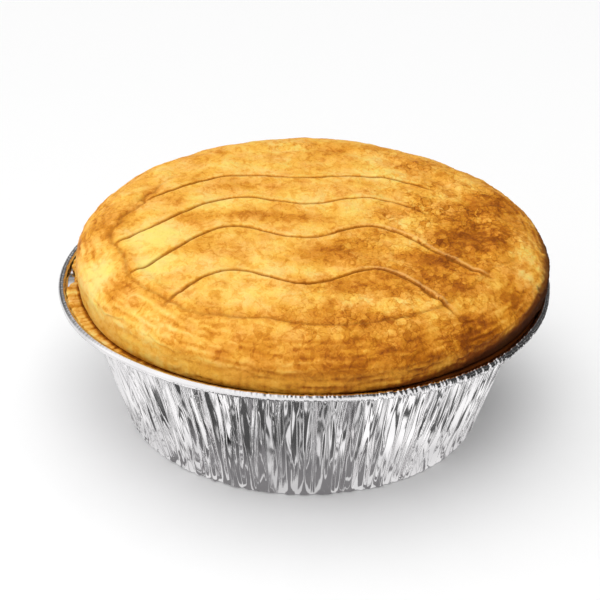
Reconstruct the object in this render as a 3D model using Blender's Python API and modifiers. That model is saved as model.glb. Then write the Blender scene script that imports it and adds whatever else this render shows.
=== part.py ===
"""An individual steak and kidney pie, baked in and sold with its foil dish.

Three closed solids, all turned about the dish's upright axis and then shaped:
  foil_dish    a thin pleated cup with a crimped flange and a rolled edge
  pastry_base  the case and filling in one, with its crust's edge lying on the flange
  pastry_lid   the risen lid: a low dome with a pressed panel and four scored waves

Metres, +Z up. The origin is the middle of the dish's underside, on the surface that it stands on.
The scored waves cross the lid along X, one behind the other along Y.
"""

import math

import bmesh
import bpy
from mathutils import Vector, noise

MM = 0.001
GAP = 0.3 * MM

# the foil dish
RIM_RADIUS = 62.0 * MM
BEAD_RADIUS = 1.0 * MM
BEAD_HEIGHT = 36.0 * MM
FOIL = 0.4 * MM
FLANGE_TOP = 35.4 * MM
FLANGE_INNER_RADIUS = 57.2 * MM
WALL_TOP_RADIUS = 56.4 * MM
WALL_TOP_HEIGHT = 34.3 * MM
BASE_RADIUS = 45.0 * MM
BASE_ROUNDING = 1.2 * MM
PLEAT_COUNT = 90
PLEAT_DEPTH = 1.0 * MM
CRIMP_DEPTH = 0.25 * MM
PLEAT_RUN_IN = 7.0 * MM  # the height over which a pleat grows out of the base
PLEAT_SWAY = 0.6  # how far a pleat leans from top to bottom, in pleats

# the case and filling, up to the lid
LEDGE_RADIUS = 59.3 * MM
LEDGE_TOP = 36.6 * MM
LEDGE_RIBS = 48
RIB_DEPTH = 0.3 * MM
LEDGE_BREAK_ANGLE = math.radians(178)
LEDGE_BREAK_WIDTH = math.radians(6)
LEDGE_BREAK_DEPTH = 1.6 * MM

# the lid
LID_CENTRE = Vector((1.6 * MM, -0.7 * MM))
LID_BOTTOM = 37.0 * MM
LID_FOOT_RADIUS = 58.4 * MM
LID_FOOT_HEIGHT = 37.3 * MM
LID_RADIUS = 59.1 * MM
LID_WIDEST_HEIGHT = 43.4 * MM
LID_TOP = 52.8 * MM
LID_SHOULDER = 22.8 * MM
LID_SLOPE = Vector((-0.02, 0.05))  # the lid has risen most at the back and a little to the left
LID_UNEVEN = 0.35 * MM
LID_STEPS = 72
PANEL_RADIUS = 47.0 * MM
PANEL_SHIFT = 2.0 * MM
PANEL_SHIFT_ANGLE = math.radians(225)
PANEL_BORDER = 3.5 * MM
PANEL_DEPTH = 0.8 * MM
PANEL_CROWN = 0.9 * MM
LEAF_COUNT = 3  # the ridges of puffed leaves that show round the lid's side
LEAF_DEPTH = 0.35 * MM

# the scored waves, from the back: (middle, height of the wave, droop of its ends, left end, right end)
WAVE_PITCH = 37.0 * MM
WAVE_SHIFT = -2.0 * MM
WAVE_SLOPE = 0.06
WAVE_REACH = 40.0 * MM  # how far out an end has dropped by its droop
SCORE_RADIUS = 0.7 * MM
SCORE_DEPTH = 0.6 * MM
SCORE_STEP = 2.2 * MM
WAVES = (
    (25.2 * MM, 2.3 * MM, 11.2 * MM, -41.0 * MM, 33.0 * MM),
    (11.6 * MM, 4.6 * MM, 13.1 * MM, -47.0 * MM, 27.0 * MM),
    (-4.9 * MM, 7.2 * MM, 14.0 * MM, -43.0 * MM, 41.0 * MM),
    (-26.6 * MM, 8.1 * MM, 15.0 * MM, -34.0 * MM, 35.0 * MM),
)


def clear_scene():
    for item in list(bpy.data.objects):
        bpy.data.objects.remove(item)


def new_collection(name, hidden=False):
    collection = bpy.data.collections.new(name)
    collection.hide_render = hidden
    bpy.context.scene.collection.children.link(collection)
    return collection


def new_material(name, colour, roughness, metallic=0.0):
    material = bpy.data.materials.new(name)
    material.use_nodes = True
    shader = material.node_tree.nodes["Principled BSDF"]
    shader.inputs["Base Color"].default_value = (*colour, 1.0)
    shader.inputs["Roughness"].default_value = roughness
    shader.inputs["Metallic"].default_value = metallic
    material.diffuse_color = (*colour, 1.0)
    return material


def smooth_step(value):
    value = min(max(value, 0.0), 1.0)
    return value * value * (3.0 - 2.0 * value)


def turned(name, profile, steps, shape, material, collection):
    """A body turned from (radius, height) points that run down its outer side, then shaped point by point."""
    outline = bpy.data.meshes.new(name)
    links = [(index, index + 1) for index in range(len(profile) - 1)]
    outline.from_pydata([(radius, 0.0, height) for radius, height in profile], links, [])
    body = bpy.data.objects.new(name, outline)
    collection.objects.link(body)
    screw = body.modifiers.new("turn", "SCREW")
    screw.angle = math.tau
    screw.steps = steps
    screw.render_steps = steps
    screw.use_merge_vertices = True
    screw.merge_threshold = 0.00001
    graph = bpy.context.evaluated_depsgraph_get()
    mesh = bpy.data.meshes.new_from_object(body.evaluated_get(graph))
    for vertex in mesh.vertices:
        vertex.co = shape(vertex.co)
    mesh.name = name
    mesh.materials.clear()
    mesh.materials.append(material)
    mesh.shade_smooth()
    mesh.set_sharp_from_angle(angle=math.radians(40))
    body.modifiers.remove(screw)
    body.data = mesh
    bpy.data.meshes.remove(outline)
    return body


# the foil dish


def wall_radius(height):
    """The outer radius of the dish's wall, along the pleats' crests."""
    return BASE_RADIUS + (WALL_TOP_RADIUS - BASE_RADIUS) * height / WALL_TOP_HEIGHT


def dish_profile():
    """Up the inside from the middle of the floor, over the rolled edge and down the outside."""
    bead_centre = RIM_RADIUS - BEAD_RADIUS
    wall_heights = (BASE_ROUNDING, 0.5 * WALL_TOP_HEIGHT, WALL_TOP_HEIGHT)
    inside = [(0.0, FOIL), (BASE_RADIUS - BASE_ROUNDING - FOIL, FOIL)]
    inside += [(wall_radius(height) - FOIL, height + FOIL) for height in wall_heights]
    inside.append((FLANGE_INNER_RADIUS, FLANGE_TOP))
    turns = [math.pi - math.asin((FLANGE_TOP - BEAD_HEIGHT) / BEAD_RADIUS)]
    turns += [math.pi * share for share in (1.0, 0.67, 0.33, 0.0, -0.25, -0.5)]
    bead = [
        (bead_centre + BEAD_RADIUS * math.cos(turn), BEAD_HEIGHT + BEAD_RADIUS * math.sin(turn)) for turn in turns
    ]
    outside = [(FLANGE_INNER_RADIUS, FLANGE_TOP - FOIL)]
    outside += [(wall_radius(height), height) for height in reversed(wall_heights)]
    outside += [(BASE_RADIUS - BASE_ROUNDING, 0.0), (0.0, 0.0)]
    return inside + bead + outside


def pleated(point):
    """Folds the wall in at every second step round the dish, and ripples the flange."""
    radius = math.hypot(point.x, point.y)
    if radius < BASE_RADIUS - 2 * BASE_ROUNDING:
        return point
    angle = math.atan2(point.y, point.x)
    fold = 0.5 - 0.5 * math.cos(angle * PLEAT_COUNT)
    depth = PLEAT_DEPTH * (0.7 + 0.6 * noise.noise(Vector((9 * math.cos(angle), 9 * math.sin(angle), 0.0))))
    sway = PLEAT_SWAY * math.tau / PLEAT_COUNT * noise.noise(Vector((3 * point.x, 3 * point.y, 0.0)) / (20 * MM))
    height = point.z
    if height < WALL_TOP_HEIGHT + FOIL + GAP and radius < FLANGE_INNER_RADIUS - GAP:
        rise = smooth_step(height / PLEAT_RUN_IN)
        radius -= depth * fold * rise
        angle += sway * (1.0 - height / WALL_TOP_HEIGHT)
    elif radius < RIM_RADIUS - 2 * BEAD_RADIUS and height < BEAD_HEIGHT:
        height -= CRIMP_DEPTH * fold
    return Vector((radius * math.cos(angle), radius * math.sin(angle), height))


# the case and filling


def base_profile():
    """From the middle of the top, out over the ledge, under it and down inside the dish."""
    clear = PLEAT_DEPTH + FOIL + GAP
    ledge_bottom = FLANGE_TOP + GAP
    floor = FOIL + GAP
    return [
        (0.0, LEDGE_TOP),
        (0.55 * LEDGE_RADIUS, LEDGE_TOP),
        (0.93 * LEDGE_RADIUS, LEDGE_TOP),
        (0.97 * LEDGE_RADIUS, LEDGE_TOP),
        (LEDGE_RADIUS, LEDGE_TOP - 0.3 * MM),
        (LEDGE_RADIUS, ledge_bottom),
        (FLANGE_INNER_RADIUS - clear, ledge_bottom),
        (wall_radius(WALL_TOP_HEIGHT) - clear - GAP, WALL_TOP_HEIGHT),
        (wall_radius(2 * BASE_ROUNDING) - clear, 2 * BASE_ROUNDING),
        (BASE_RADIUS - 2 * clear, floor),
        (0.0, floor),
    ]


def ledge_edge(angle):
    """How far the crust's edge reaches, with the place at the left where it has broken away."""
    wander = noise.noise(Vector((4 * math.cos(angle), 4 * math.sin(angle), 3.0)))
    away = abs(math.remainder(angle - LEDGE_BREAK_ANGLE, math.tau))
    broken = LEDGE_BREAK_DEPTH * (1.0 - smooth_step(away / LEDGE_BREAK_WIDTH))
    return 0.5 * MM * wander - 0.2 * MM - broken


def ribbed(point):
    """Ribs the crust's edge where it lies on the flange."""
    radius = math.hypot(point.x, point.y)
    if radius < 0.95 * LEDGE_RADIUS or point.z < FLANGE_TOP:
        return point
    angle = math.atan2(point.y, point.x)
    rib = 0.5 - 0.5 * math.cos(angle * LEDGE_RIBS)
    height = point.z
    if height > FLANGE_TOP + 2 * GAP:
        height -= RIB_DEPTH * rib
    if radius > 0.98 * LEDGE_RADIUS:
        radius += ledge_edge(angle)
    return Vector((radius * math.cos(angle), radius * math.sin(angle), height))


# the lid


def dome_height(radius):
    """The height of the lid's top before its panel is pressed and before it leans."""
    flat = LID_RADIUS - LID_SHOULDER
    across = max(radius - flat, 0.0) / LID_SHOULDER
    return LID_WIDEST_HEIGHT + (LID_TOP - LID_WIDEST_HEIGHT) * math.sqrt(max(1.0 - across * across, 0.0))


def panel_drop(x, y):
    """How far the pressed panel lies under the dome, which its middle crowns up to again."""
    radius = math.hypot(x, y)
    edge = PANEL_RADIUS + PANEL_SHIFT * math.cos(math.atan2(y, x) - PANEL_SHIFT_ANGLE)
    crown = PANEL_CROWN * max(1.0 - (radius / edge) ** 2, 0.0)
    return PANEL_DEPTH * smooth_step((edge - radius) / PANEL_BORDER) - crown


def lid_profile():
    """From the middle of the top, over the shoulder, down the leaved side and back under."""
    inner_edge = PANEL_RADIUS - PANEL_SHIFT - PANEL_BORDER
    outer_edge = PANEL_RADIUS + PANEL_SHIFT
    panel_rows = 6
    border_rows = 4
    radii = [inner_edge * index / panel_rows for index in range(panel_rows)]
    radii += [inner_edge + (outer_edge - inner_edge) * index / border_rows for index in range(border_rows + 1)]
    points = [(radius, dome_height(radius)) for radius in radii]
    shoulder_steps = 6
    first = math.acos((outer_edge - LID_RADIUS + LID_SHOULDER) / LID_SHOULDER)
    for index in range(1, shoulder_steps + 1):
        turn = first * (1.0 - index / shoulder_steps)
        radius = LID_RADIUS - LID_SHOULDER * (1.0 - math.cos(turn))
        points.append((radius, LID_WIDEST_HEIGHT + (LID_TOP - LID_WIDEST_HEIGHT) * math.sin(turn)))
    rows = 2 * LEAF_COUNT
    for index in range(1, rows + 1):
        share = index / rows
        radius = LID_FOOT_RADIUS + (LID_RADIUS - LID_FOOT_RADIUS) * (1.0 - share * share)
        height = LID_WIDEST_HEIGHT + (LID_FOOT_HEIGHT - LID_WIDEST_HEIGHT) * share
        points.append((radius - LEAF_DEPTH * (index % 2), height))
    points += [(LID_FOOT_RADIUS - 2 * MM, LID_BOTTOM), (0.0, LID_BOTTOM)]
    return points


def risen(point):
    """Sets a point of the lid where the baked lid has it: off centre, leaning and a little uneven."""
    lift = max(point.z - LID_FOOT_HEIGHT, 0.0) / (LID_TOP - LID_FOOT_HEIGHT)
    lean = LID_SLOPE.x * point.x + LID_SLOPE.y * point.y
    bump = noise.noise(Vector((point.x, point.y, 0.0)) / (14 * MM))
    bump += 0.5 * noise.noise(Vector((point.x, point.y, 5.0 * MM)) / (6 * MM))
    angle = math.atan2(point.y, point.x)
    swell = 1.0 + 0.006 * noise.noise(Vector((2 * math.cos(angle), 2 * math.sin(angle), 7.0)))
    swell = 1.0 + (swell - 1.0) * min(lift * 4.0, 1.0)
    top = smooth_step(2.0 * lift)
    height = point.z + lift * (lean + LID_UNEVEN * bump) - top * panel_drop(point.x, point.y)
    return Vector((LID_CENTRE.x + point.x * swell, LID_CENTRE.y + point.y * swell, height))


def wave_path(middle, height, droop, left, right):
    """Points along one scored wave on the lid, which rises out of the pastry at both ends."""
    count = round((right - left) / SCORE_STEP)
    points = []
    for index in range(count + 1):
        share = index / count
        x = left + (right - left) * share
        y = middle + WAVE_SLOPE * x - 0.5 * height * math.cos(math.tau * (x - WAVE_SHIFT) / WAVE_PITCH)
        y -= droop * abs((x - WAVE_SHIFT) / WAVE_REACH) ** 3
        on_lid = Vector((x, y, dome_height(math.hypot(x, y))))
        ends = smooth_step(min(share, 1.0 - share) * count / 3.0)
        clear = SCORE_RADIUS - SCORE_DEPTH * ends
        points.append(risen(on_lid) + Vector((0.0, 0.0, clear)))
    return points


def score_cutter(name, points, collection):
    """A round bar along the points, made a closed mesh so that it can cut."""
    curve = bpy.data.curves.new(name, "CURVE")
    curve.dimensions = "3D"
    curve.bevel_depth = SCORE_RADIUS
    curve.bevel_resolution = 1
    curve.use_fill_caps = True
    spline = curve.splines.new("POLY")
    spline.points.add(len(points) - 1)
    for target, point in zip(spline.points, points):
        target.co = (*point, 1.0)
    bar = bpy.data.objects.new(name + "_line", curve)
    collection.objects.link(bar)
    graph = bpy.context.evaluated_depsgraph_get()
    mesh = bpy.data.meshes.new_from_object(bar.evaluated_get(graph))
    weld_points(mesh)
    cutter = bpy.data.objects.new(name, mesh)
    cutter.matrix_world = bar.matrix_world
    cutter.hide_render = True
    cutter.display_type = "WIRE"
    collection.objects.link(cutter)
    bpy.data.objects.remove(bar)
    return cutter


def weld_points(mesh):
    work = bmesh.new()
    work.from_mesh(mesh)
    bmesh.ops.remove_doubles(work, verts=work.verts, dist=0.00001)
    work.to_mesh(mesh)
    work.free()


def make_pie():
    clear_scene()
    pie = new_collection("steak_and_kidney_pie")
    cutters = new_collection("cutters", hidden=True)
    foil = new_material("foil", (0.80, 0.80, 0.81), 0.28, metallic=1.0)
    crust = new_material("crust", (0.66, 0.36, 0.09), 0.6)
    golden = new_material("golden_lid", (0.78, 0.46, 0.13), 0.55)
    turned("foil_dish", dish_profile(), 2 * PLEAT_COUNT, pleated, foil, pie)
    turned("pastry_base", base_profile(), 2 * LEDGE_RIBS, ribbed, crust, pie)
    lid = turned("pastry_lid", lid_profile(), LID_STEPS, risen, golden, pie)
    for index, wave in enumerate(WAVES):
        cut = lid.modifiers.new(f"score_{index + 1}", "BOOLEAN")
        cut.operation = "DIFFERENCE"
        cut.object = score_cutter(f"score_cutter_{index + 1}", wave_path(*wave), cutters)


make_pie()
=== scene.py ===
import bisect
import math

import bmesh
import bpy
from mathutils import Matrix, Vector, noise


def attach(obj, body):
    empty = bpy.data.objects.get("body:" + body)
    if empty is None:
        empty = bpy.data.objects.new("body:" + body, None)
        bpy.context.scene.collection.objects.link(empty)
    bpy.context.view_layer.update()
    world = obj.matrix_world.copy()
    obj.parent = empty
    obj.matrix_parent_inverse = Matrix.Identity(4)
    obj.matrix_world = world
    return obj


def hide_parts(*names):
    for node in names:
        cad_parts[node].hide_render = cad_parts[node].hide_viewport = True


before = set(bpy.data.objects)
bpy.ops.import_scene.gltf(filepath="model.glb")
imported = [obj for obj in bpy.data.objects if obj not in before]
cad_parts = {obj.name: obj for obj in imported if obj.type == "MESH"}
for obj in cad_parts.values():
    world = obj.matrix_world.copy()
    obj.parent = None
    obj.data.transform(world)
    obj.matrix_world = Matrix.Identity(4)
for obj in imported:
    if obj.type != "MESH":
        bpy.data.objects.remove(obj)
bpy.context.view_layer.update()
print("frame loaded:", sorted(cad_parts))

noise.seed_set(7)        # noise_vector would otherwise start from the clock
mm = 0.001


# small tools

def smoothStep(value):
    value = min(max(value, 0.0), 1.0)
    return value * value * (3.0 - 2.0 * value)


def mix(first, second, share):
    return first + (second - first) * share


def fading(distance, reach):  # 1 at no distance, easing to 0 at the reach
    return 1.0 - smoothStep(distance / reach)


def zigzag(value):  # 0 at whole numbers, 1 half way between them
    return 1.0 - 2.0 * abs(value - math.floor(value) - 0.5)


def polar(radius, angle, height):
    return Vector((radius * math.cos(angle), radius * math.sin(angle), height))


def roundNoise(angle, grain, level):  # noise that closes on itself round the pie
    return noise.noise(polar(grain, angle, level))


def chanceAt(*place):  # a steady random share for a place in a pattern
    return 0.5 + 0.5 * noise.cell(Vector(place))


def roundTable(table, angle):  # reads a table of (bearing in degrees, value) from 0 to 360, eased between its lines
    bearing = math.degrees(angle) % 360.0
    for first, second in zip(table, table[1:]):
        if bearing <= second[0]:
            return mix(first[1], second[1], smoothStep((bearing - first[0]) / (second[0] - first[0])))


def addObject(name, data):
    holder = bpy.data.objects.new(name, data)
    bpy.context.scene.collection.objects.link(holder)
    return holder


def facing(place, target=(0.0, 0.0, 0.0)):  # stands at the place and looks at the target
    look = Vector(target) - Vector(place)
    return Matrix.Translation(place) @ look.to_track_quat("-Z", "Y").to_matrix().to_4x4()


def setInputs(node, values):
    for name, value in values.items():
        node.inputs[name].default_value = value


def makePiece(name, work, material):
    mesh = bpy.data.meshes.new(name)
    work.to_mesh(mesh)
    work.free()
    mesh.materials.append(material)
    mesh.shade_smooth()
    print(f"{name}: {sum(len(face.vertices) - 2 for face in mesh.polygons)} triangles")
    return addObject(name, mesh)


def spinProfile(points, steps):  # a turned body from (radius, height) points
    work = bmesh.new()
    dots = [work.verts.new((radius, 0.0, height)) for radius, height in points]
    lines = [work.edges.new(pair) for pair in zip(dots, dots[1:])]
    bmesh.ops.spin(
        work, geom=dots + lines, cent=(0, 0, 0), axis=(0, 0, 1), angle=math.tau, steps=steps, use_merge=True,
    )
    bmesh.ops.remove_doubles(work, verts=work.verts, dist=0.002 * mm)
    bmesh.ops.recalc_face_normals(work, faces=work.faces)
    return work


class Shader:  # a Principled material and short ways to add nodes to it
    def __init__(self, name):
        self.material = bpy.data.materials.new(name)
        self.material.use_nodes = True
        self.nodes = self.material.node_tree.nodes
        self.links = self.material.node_tree.links
        self.surface = self.nodes["Principled BSDF"]
        self.place = self.add("ShaderNodeTexCoord").outputs["Object"]

    def add(self, kind, **settings):
        node = self.nodes.new(kind)
        for key, value in settings.items():
            setattr(node, key, value)
        return node

    def feed(self, socket, source):
        if isinstance(source, (int, float, tuple)):
            socket.default_value = source
        else:
            self.links.new(source, socket)

    def stretched(self, scale):
        node = self.add("ShaderNodeMapping")
        self.feed(node.inputs["Vector"], self.place)
        setInputs(node, {"Scale": scale})
        return node.outputs["Vector"]

    def noiseNode(self, size, detail, roughness=0.5, distortion=0.0, place=None):  # size in metres
        node = self.add("ShaderNodeTexNoise")
        self.feed(node.inputs["Vector"], place or self.place)
        setInputs(node, {"Scale": 1.0 / size, "Detail": detail, "Roughness": roughness, "Distortion": distortion})
        return node

    def cloud(self, size, detail=3.0, roughness=0.55, place=None, distortion=0.0):  # soft noise
        return self.noiseNode(size, detail, roughness, distortion, place).outputs["Fac"]

    def cells(self, size, feature, place, output="Distance"):
        node = self.add("ShaderNodeTexVoronoi", feature=feature)
        self.feed(node.inputs["Vector"], place)
        setInputs(node, {"Scale": 1.0 / size})
        return node.outputs[output]

    def wobbled(self, size, amount, place):  # coordinates pushed about by noise
        node = self.noiseNode(size, 3.0)
        push = self.add("ShaderNodeVectorMath", operation="MULTIPLY_ADD")
        self.links.new(node.outputs["Color"], push.inputs[0])
        push.inputs[1].default_value = (amount, amount, amount)
        self.links.new(place, push.inputs[2])
        return push.outputs["Vector"]

    def maths(self, operation, first, second=0.0, third=0.0, clamp=False):
        node = self.add("ShaderNodeMath", operation=operation, use_clamp=clamp)
        for socket, source in zip(node.inputs, (first, second, third)):
            self.feed(socket, source)
        return node.outputs["Value"]

    def remap(self, source, low, high, newLow=0.0, newHigh=1.0):
        node = self.add("ShaderNodeMapRange")
        self.feed(node.inputs["Value"], source)
        setInputs(node, {"From Min": low, "From Max": high, "To Min": newLow, "To Max": newHigh})
        return node.outputs["Result"]

    def ramp(self, source, stops):
        node = self.add("ShaderNodeValToRGB")
        band = node.color_ramp
        while len(band.elements) < len(stops):
            band.elements.new(0.5)
        for element, (position, colour) in zip(band.elements, stops):
            element.position = position
            element.color = (*colour, 1.0)
        self.feed(node.inputs["Fac"], source)
        return node.outputs["Color"]

    def blend(self, share, first, second, way="MIX"):
        node = self.add("ShaderNodeMix", data_type="RGBA", blend_type=way)
        self.feed(node.inputs["Factor"], share)
        for index, source in ((6, first), (7, second)):  # the node's colour inputs, A and B
            self.feed(node.inputs[index], (*source, 1.0) if isinstance(source, tuple) else source)
        return node.outputs[2]

    def axes(self):
        node = self.add("ShaderNodeSeparateXYZ")
        self.feed(node.inputs["Vector"], self.place)
        return node.outputs

    def turnShare(self):  # how far round, clockwise from the back
        axes = self.axes()
        angle = self.maths("ARCTAN2", axes["X"], axes["Y"])
        return self.maths("FRACT", self.maths("DIVIDE", angle, math.tau))

    def attribute(self, name):
        return self.add("ShaderNodeAttribute", attribute_name=name).outputs["Fac"]

    def bump(self, height, distance, strength=1.0, under=None):
        node = self.add("ShaderNodeBump")
        setInputs(node, {"Distance": distance})
        self.feed(node.inputs["Strength"], strength)
        self.feed(node.inputs["Height"], height)
        if under:
            self.feed(node.inputs["Normal"], under)
        return node.outputs["Normal"]


# the camera, at the photograph's angle

camera = {
    "place": (0.0, -445.5 * mm, 262.8 * mm),
    "target": (-1.2 * mm, 0.0, 30.0 * mm),
    "lens": 118.7,
    "sensor": 36.0,
    "nearest": 10 * mm,
    "roll": math.radians(0.85),
}


def addCamera():
    lens = bpy.data.cameras.new("camera")
    lens.lens = camera["lens"]
    lens.sensor_width = camera["sensor"]
    lens.clip_start = camera["nearest"]
    holder = addObject("camera", lens)
    holder.matrix_world = facing(camera["place"], camera["target"]) @ Matrix.Rotation(camera["roll"], 4, "Z")
    bpy.context.scene.camera = holder


# the foil dish

dish = {
    "rimRadius": 62.0 * mm,
    "beadRadius": 1.0 * mm,
    "beadHeight": 36.0 * mm,
    "beadSteps": 9,
    "flangeTop": 35.4 * mm,
    "flangeRings": (57.2 * mm, 58.4 * mm, 59.5 * mm),   # outward on top
    "flangeUnder": (60.0 * mm, 58.8 * mm, 57.7 * mm),   # and back underneath
    "flangeEnd": 60.2 * mm,
    "wallTopRadius": 56.4 * mm,
    "wallTopHeight": 34.3 * mm,
    "baseRadius": 45.0 * mm,
    "baseRounding": 1.2 * mm,
    "baseRings": (42.5 * mm, 39.2 * mm, 38.5 * mm, 37.8 * mm, 36.9 * mm, 0.0),
    "foil": 0.3 * mm,
    "steps": 1650,
    "wallRows": 30,
    "wideFolds": 57,
    "wideDepth": 1.0 * mm,
    "tightFolds": 116,
    "tightDepth": 1.05 * mm,
    "shortFolds": 236,     # gathered just below the rim and fading down the wall
    "shortDepth": 0.32 * mm,
    "shortReach": 9 * mm,
    "foldFull": 2.5 * mm,  # the folds reach their whole depth this far below the top
    "driftRun": 34 * mm,   # how far down the wall the folds keep a direction
    "swayRun": 16 * mm,
    "buckle": 0.3 * mm,    # slow waves of the whole wall
    "buckleRun": 30 * mm,
    "crinkle": 0.07 * mm,
    "crinkleGrain": 2.4 * mm,
    "crinkleRadius": 55 * mm,
    "crimps": 275,
    "crimpDepth": 0.32 * mm,
    "crimpSlack": 0.66,    # the share of a crimp on its slack side; the steep side faces left
    "pleats": 88,          # ripples across the flange
    "pleatDepth": 0.35 * mm,
    "ringRadius": 38.0 * mm,
    "ringReach": 1.1 * mm,
    "ringRise": 0.35 * mm,
}
# by bearing: how far the rolled edge is pushed up, and how far it is pulled in, in mm
rimUp = (
    (0, 0.5), (40, 0.0), (170, 0.0), (205, 0.1), (235, 0.9), (272, 0.9), (292, 0.45), (312, 0.1), (335, 0.6),
    (350, 0.7), (360, 0.5),
)
rimIn = ((0, 0.3), (40, 0.0), (320, 0.0), (338, 0.2), (352, 0.5), (360, 0.3))
# by bearing: how much longer the rolled edge is below its middle, and how deep its crimps are
rimHang = ((0, 0.2), (60, 0.0), (275, 0.0), (300, 0.75), (330, 0.75), (350, 0.3), (360, 0.2))
crimpAmount = (
    (0, 0.8), (150, 0.5), (180, 0.3), (215, 0.1), (246, 0.15), (262, 0.8), (285, 1.4), (300, 1.7), (345, 1.6),
    (360, 0.8),
)


def wallRadius(height):
    return mix(dish["baseRadius"], dish["wallTopRadius"], height / dish["wallTopHeight"])


def dishProfile():  # up the inside, over the rolled edge, down the outside and in under the base
    foil, flange, top, rounding = dish["foil"], dish["flangeTop"], dish["wallTopHeight"], dish["baseRounding"]
    inside = [(0.0, foil), (dish["baseRadius"] - rounding - foil, foil)]
    inside += [(wallRadius(top * share) - foil, top * share + foil) for share in (0.06, 0.5, 1.0)]
    inside += [(radius, flange) for radius in dish["flangeRings"]]
    rolled, middle = dish["beadRadius"], dish["beadHeight"]
    start = math.pi - math.asin((flange - middle) / rolled)
    bead = []
    for index in range(dish["beadSteps"] + 1):
        turn = mix(start, -0.5 * math.pi, index / dish["beadSteps"])
        bead.append((dish["rimRadius"] - rolled + rolled * math.cos(turn), middle + rolled * math.sin(turn)))
    outside = [(radius, flange - foil) for radius in dish["flangeUnder"]]
    rows = dish["wallRows"]
    for index in range(rows + 1):
        height = mix(top, rounding, index / rows)
        outside.append((wallRadius(height), height))
    corner = dish["baseRadius"] - rounding
    outside += [(corner + 0.75 * rounding, 0.3 * rounding), (corner + 0.3 * rounding, 0.0)]
    outside += [(radius, 0.0) for radius in dish["baseRings"]]
    return inside + bead + outside


def crease(turn, count, level, height):  # 0 on the flat wall, 1 in a fold; each fold has a steep and a slack side
    place = turn * count
    index = math.floor(place) % count
    share = place - math.floor(place)
    depth = mix(0.1, 1.0, chanceAt(index + 0.5, level, 3.5))
    depth *= max(0.8 + 0.8 * noise.noise(Vector((index * 1.7, level, height / (19 * mm)))), 0.1)
    fold = mix(0.14, 0.86, chanceAt(index + 0.5, level, 0.5))  # where across the fold its bottom is
    fold += 0.20 * noise.noise(Vector((index * 2.3, level + 5.0, height / (15 * mm))))
    fold = min(max(fold, 0.1), 0.9)
    return depth * (share / fold if share < fold else (1.0 - share) / (1.0 - fold))


def crinkle(angle, height):  # fine ridges between long narrow facets, as on handled foil
    grain = dish["crinkleGrain"]
    near, second = noise.voronoi(polar(dish["crinkleRadius"] / grain, angle, 0.16 * height / grain))[0][:2]
    return fading(second - near, 0.3)


def foldWall(angle, height):  # how far in the wall lies here
    turn = (angle / math.tau) % 1.0
    below = dish["wallTopHeight"] - height
    ends = mix(0.5, 1.0, smoothStep(height / (2 * mm)))  # the folds are shallower at both ends
    ends *= mix(1.0, 0.55, smoothStep(1.0 - below / dish["foldFull"]))
    lean = 0.012 * roundNoise(angle, 3.0, 4.0) * (height / dish["wallTopHeight"] - 0.5)
    drift = roundNoise(angle, 4.0, height / dish["driftRun"])
    sway = 0.0022 * roundNoise(angle, 15.0, height / dish["swayRun"])
    wide = crease((turn + 0.010 * drift + lean) % 1.0, dish["wideFolds"], 1.0, height)
    tight = crease((turn - 0.006 * drift + sway - lean) % 1.0, dish["tightFolds"], 20.0, height)
    short = crease((turn + sway) % 1.0, dish["shortFolds"], 40.0, height)
    gathered = 1.0 - smoothStep(below / dish["shortReach"] + 0.25 * roundNoise(angle, 18.0, 12.0))
    inward = dish["wideDepth"] * wide + dish["tightDepth"] * tight + dish["shortDepth"] * short * gathered
    inward += dish["buckle"] * (0.5 + 0.5 * roundNoise(angle, 3.0, height / dish["buckleRun"]))
    inward -= dish["crinkle"] * crinkle(angle, height)
    return max(inward, 0.0) * ends


def foldFoil(point):
    radius = math.hypot(point.x, point.y)
    if radius < 1 * mm:
        return point
    angle = math.atan2(point.y, point.x)
    height = point.z
    if height < dish["wallTopHeight"] + 0.5 * mm and radius > dish["baseRadius"] - 5 * mm:
        radius -= foldWall(angle, height)
    elif radius > dish["flangeRings"][0] - 0.1 * mm:
        crimp = angle / math.tau * dish["crimps"] + 0.25 * (height - dish["beadHeight"]) / mm
        crimp += 0.8 * roundNoise(angle, 14.0, 2.0) + 0.9 * roundNoise(angle, 70.0, 9.0)
        share = crimp - math.floor(crimp)
        ripple = min(share / dish["crimpSlack"], (1.0 - share) / (1.0 - dish["crimpSlack"]))
        uneven = mix(0.35, 1.0, chanceAt(math.floor(crimp) % dish["crimps"] + 0.5, 0.5, 0.5))
        if radius < dish["flangeEnd"]:
            height -= dish["pleatDepth"] * zigzag(angle / math.tau * dish["pleats"] + roundNoise(angle, 8.0, 1.0))
        else:
            middle = Vector((dish["rimRadius"] - dish["beadRadius"], dish["beadHeight"]))
            away = Vector((radius, height)) - middle
            away *= 1.0 - roundTable(crimpAmount, angle) * dish["crimpDepth"] / dish["beadRadius"] * ripple * uneven
            if away.y < 0.0:
                away.y *= 1.0 + roundTable(rimHang, angle)
            radius, height = middle + away
        edge = smoothStep((radius - dish["flangeRings"][1]) / (1.4 * mm))
        height += roundTable(rimUp, angle) * mm * edge
        radius -= roundTable(rimIn, angle) * mm * edge
    elif height < 0.1 * mm and radius < dish["baseRadius"] - 5 * mm:
        height += dish["ringRise"] * fading(abs(radius - dish["ringRadius"]), dish["ringReach"])
    return polar(radius, angle, height)


foilTones = ((0.3, (0.80, 0.785, 0.795)), (0.7, (0.93, 0.912, 0.917)))


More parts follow.
